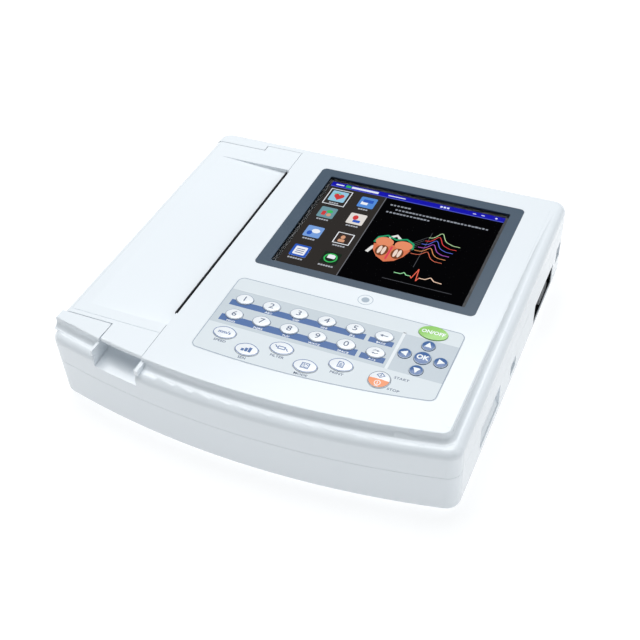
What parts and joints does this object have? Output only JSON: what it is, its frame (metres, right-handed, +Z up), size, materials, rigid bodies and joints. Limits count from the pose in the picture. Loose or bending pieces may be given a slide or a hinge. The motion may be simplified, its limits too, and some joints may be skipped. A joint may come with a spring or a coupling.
{
  "type": "ecg machine",
  "caption": "Desktop resting ECG recorder with colour screen, membrane keypad, hinged paper lid over a thermal strip printer, and patient, network and mains sockets.",
  "frame": {"origin": "under the middle of the casing, on the table that the rubber feet stand on", "axes": "+X to the user's right along the width, +Y from the user to the back, +Z up"},
  "size_m": [0.355, 0.334, 0.0792],
  "materials": {
    "casing_white": "moulded, smooth satin-gloss",
    "steel": "bright drawn steel",
    "dark_metal": "black oxide",
    "zinc": "zinc-plated sheet",
    "aluminium": "extruded",
    "ceramic_cream": "glazed ceramic strip",
    "grey_plastic": "moulded, matte",
    "slate_plastic": "slate frame behind clear lacquer",
    "screen_glass": "clear cover glass",
    "black_plastic": "moulded black",
    "keypad_grey": "printed polyester film, fine texture",
    "soft_rubber": "silicone",
    "board_green": "solder mask",
    "board_blue": "solder mask",
    "battery_blue": "shrink sleeve",
    "cable_grey": "polyester flat cable",
    "brass": "machined",
    "foot_rubber": "soft rubber",
    "platen_rubber": "ground rubber",
    "gear_plastic": "natural acetal",
    "paper_white": "thermal paper",
    "core_blue": "moulded",
    "key_white": "satin key",
    "key_green": "satin key",
    "key_orange": "satin key",
    "key_blue": "satin key"
  },
  "bodies": {
    "casing": {"upper_casing": "casing_white", "lower_casing": "casing_white", "lid_hinge_pin": "steel", "stepper_motor": "dark_metal", "gear_bracket": "zinc", "print_head": "ceramic_cream", "head_bracket": "aluminium", "head_springs": "steel", "paper_tray": "grey_plastic", "screen_bezel": "slate_plastic", "screen_glass": "screen_glass", "lcd_panel": "black_plastic", "keypad_overlay": "keypad_grey", "key_mat": "soft_rubber", "keypad_board": "board_green", "main_board": "board_green", "power_board": "board_blue", "battery_pack": "battery_blue", "battery_door": "casing_white", "flat_cables": "cable_grey", "mains_inlet": "black_plastic", "patient_connector": "zinc", "data_sockets": "zinc", "ground_stud": "brass", "casing_screws": "steel", "rubber_feet": "foot_rubber"},
    "lid": {"printer_lid": "casing_white", "tear_bar": "steel"},
    "platen": {"platen_roller": "platen_rubber", "platen_shaft": "steel", "platen_gear": "gear_plastic"},
    "idler": {"idler_gear": "gear_plastic"},
    "pinion": {"motor_pinion": "brass"},
    "paper": {"paper_roll": "paper_white", "paper_shaft": "core_blue"},
    "rocker": {"power_rocker": "black_plastic"},
    "key_1": {"key_1": "key_white"},
    "key_2": {"key_2": "key_white"},
    "key_3": {"key_3": "key_white"},
    "key_4": {"key_4": "key_white"},
    "key_5": {"key_5": "key_white"},
    "key_6": {"key_6": "key_white"},
    "key_7": {"key_7": "key_white"},
    "key_8": {"key_8": "key_white"},
    "key_9": {"key_9": "key_white"},
    "key_0": {"key_0": "key_white"},
    "key_backspace": {"key_backspace": "key_white"},
    "key_shift": {"key_shift": "key_white"},
    "key_speed": {"key_speed": "key_white"},
    "key_gain": {"key_gain": "key_white"},
    "key_filter": {"key_filter": "key_white"},
    "key_mode": {"key_mode": "key_white"},
    "key_print": {"key_print": "key_white"},
    "key_start_stop": {"key_start_stop": "key_orange"},
    "key_power": {"key_power": "key_green"},
    "key_up": {"key_up": "key_blue"},
    "key_down": {"key_down": "key_blue"},
    "key_left": {"key_left": "key_blue"},
    "key_right": {"key_right": "key_blue"},
    "key_ok": {"key_ok": "key_blue"}
  },
  "joints": [
    {"name": "lid_hinge", "type": "hinge", "parent": "casing", "child": "lid", "pos_m": [-0.1742, 0.012, 0.06], "axis": [0, -1, 0], "range_deg": [0, 80]},
    {"name": "platen_spin", "type": "hinge", "parent": "lid", "child": "platen", "pos_m": [-0.094, 0.0145, 0.0615], "axis": [0, 1, 0], "continuous": true},
    {"name": "idler_spin", "type": "hinge", "parent": "casing", "child": "idler", "pos_m": [-0.094, 0.132, 0.0395], "axis": [0, 1, 0], "continuous": true},
    {"name": "pinion_spin", "type": "hinge", "parent": "casing", "child": "pinion", "pos_m": [-0.07755, 0.132, 0.03], "axis": [0, 1, 0], "continuous": true},
    {"name": "paper_spin", "type": "hinge", "parent": "casing", "child": "paper", "pos_m": [-0.134, 0.0145, 0.038], "axis": [0, 1, 0], "continuous": true},
    {"name": "rocker_tilt", "type": "hinge", "parent": "casing", "child": "rocker", "pos_m": [0.091, 0.1625, 0.026], "axis": [1, 0, 0], "range_deg": [0, 16]},
    {"name": "key_1_press", "type": "slide", "parent": "casing", "child": "key_1", "axis": [0, 0, -1], "range_m": [0, 0.0008], "stiffness_N_per_m": 400, "springref_m": -0.0002},
    {"name": "key_2_press", "type": "slide", "parent": "casing", "child": "key_2", "axis": [0, 0, -1], "range_m": [0, 0.0008], "stiffness_N_per_m": 400, "springref_m": -0.0002},
    {"name": "key_3_press", "type": "slide", "parent": "casing", "child": "key_3", "axis": [0, 0, -1], "range_m": [0, 0.0008], "stiffness_N_per_m": 400, "springref_m": -0.0002},
    {"name": "key_4_press", "type": "slide", "parent": "casing", "child": "key_4", "axis": [0, 0, -1], "range_m": [0, 0.0008], "stiffness_N_per_m": 400, "springref_m": -0.0002},
    {"name": "key_5_press", "type": "slide", "parent": "casing", "child": "key_5", "axis": [0, 0, -1], "range_m": [0, 0.0008], "stiffness_N_per_m": 400, "springref_m": -0.0002},
    {"name": "key_6_press", "type": "slide", "parent": "casing", "child": "key_6", "axis": [0, 0, -1], "range_m": [0, 0.0008], "stiffness_N_per_m": 400, "springref_m": -0.0002},
    {"name": "key_7_press", "type": "slide", "parent": "casing", "child": "key_7", "axis": [0, 0, -1], "range_m": [0, 0.0008], "stiffness_N_per_m": 400, "springref_m": -0.0002},
    {"name": "key_8_press", "type": "slide", "parent": "casing", "child": "key_8", "axis": [0, 0, -1], "range_m": [0, 0.0008], "stiffness_N_per_m": 400, "springref_m": -0.0002},
    {"name": "key_9_press", "type": "slide", "parent": "casing", "child": "key_9", "axis": [0, 0, -1], "range_m": [0, 0.0008], "stiffness_N_per_m": 400, "springref_m": -0.0002},
    {"name": "key_0_press", "type": "slide", "parent": "casing", "child": "key_0", "axis": [0, 0, -1], "range_m": [0, 0.0008], "stiffness_N_per_m": 400, "springref_m": -0.0002},
    {"name": "key_backspace_press", "type": "slide", "parent": "casing", "child": "key_backspace", "axis": [0, 0, -1], "range_m": [0, 0.0008], "stiffness_N_per_m": 400, "springref_m": -0.0002},
    {"name": "key_shift_press", "type": "slide", "parent": "casing", "child": "key_shift", "axis": [0, 0, -1], "range_m": [0, 0.0008], "stiffness_N_per_m": 400, "springref_m": -0.0002},
    {"name": "key_speed_press", "type": "slide", "parent": "casing", "child": "key_speed", "axis": [0, 0, -1], "range_m": [0, 0.0008], "stiffness_N_per_m": 400, "springref_m": -0.0002},
    {"name": "key_gain_press", "type": "slide", "parent": "casing", "child": "key_gain", "axis": [0, 0, -1], "range_m": [0, 0.0008], "stiffness_N_per_m": 400, "springref_m": -0.0002},
    {"name": "key_filter_press", "type": "slide", "parent": "casing", "child": "key_filter", "axis": [0, 0, -1], "range_m": [0, 0.0008], "stiffness_N_per_m": 400, "springref_m": -0.0002},
    {"name": "key_mode_press", "type": "slide", "parent": "casing", "child": "key_mode", "axis": [0, 0, -1], "range_m": [0, 0.0008], "stiffness_N_per_m": 400, "springref_m": -0.0002},
    {"name": "key_print_press", "type": "slide", "parent": "casing", "child": "key_print", "axis": [0, 0, -1], "range_m": [0, 0.0008], "stiffness_N_per_m": 400, "springref_m": -0.0002},
    {"name": "key_start_stop_press", "type": "slide", "parent": "casing", "child": "key_start_stop", "axis": [0, 0, -1], "range_m": [0, 0.0008], "stiffness_N_per_m": 400, "springref_m": -0.0002},
    {"name": "key_power_press", "type": "slide", "parent": "casing", "child": "key_power", "axis": [0, 0, -1], "range_m": [0, 0.0008], "stiffness_N_per_m": 400, "springref_m": -0.0002},
    {"name": "key_up_press", "type": "slide", "parent": "casing", "child": "key_up", "axis": [0, 0, -1], "range_m": [0, 0.0008], "stiffness_N_per_m": 400, "springref_m": -0.0002},
    {"name": "key_down_press", "type": "slide", "parent": "casing", "child": "key_down", "axis": [0, 0, -1], "range_m": [0, 0.0008], "stiffness_N_per_m": 400, "springref_m": -0.0002},
    {"name": "key_left_press", "type": "slide", "parent": "casing", "child": "key_left", "axis": [0, 0, -1], "range_m": [0, 0.0008], "stiffness_N_per_m": 400, "springref_m": -0.0002},
    {"name": "key_right_press", "type": "slide", "parent": "casing", "child": "key_right", "axis": [0, 0, -1], "range_m": [0, 0.0008], "stiffness_N_per_m": 400, "springref_m": -0.0002},
    {"name": "key_ok_press", "type": "slide", "parent": "casing", "child": "key_ok", "axis": [0, 0, -1], "range_m": [0, 0.0008], "stiffness_N_per_m": 400, "springref_m": -0.0002}
  ],
  "couplings": [
    {"joint": "idler_spin", "follows": "platen_spin", "ratio": -0.83333},
    {"joint": "pinion_spin", "follows": "platen_spin", "ratio": 1.4286}
  ]
}
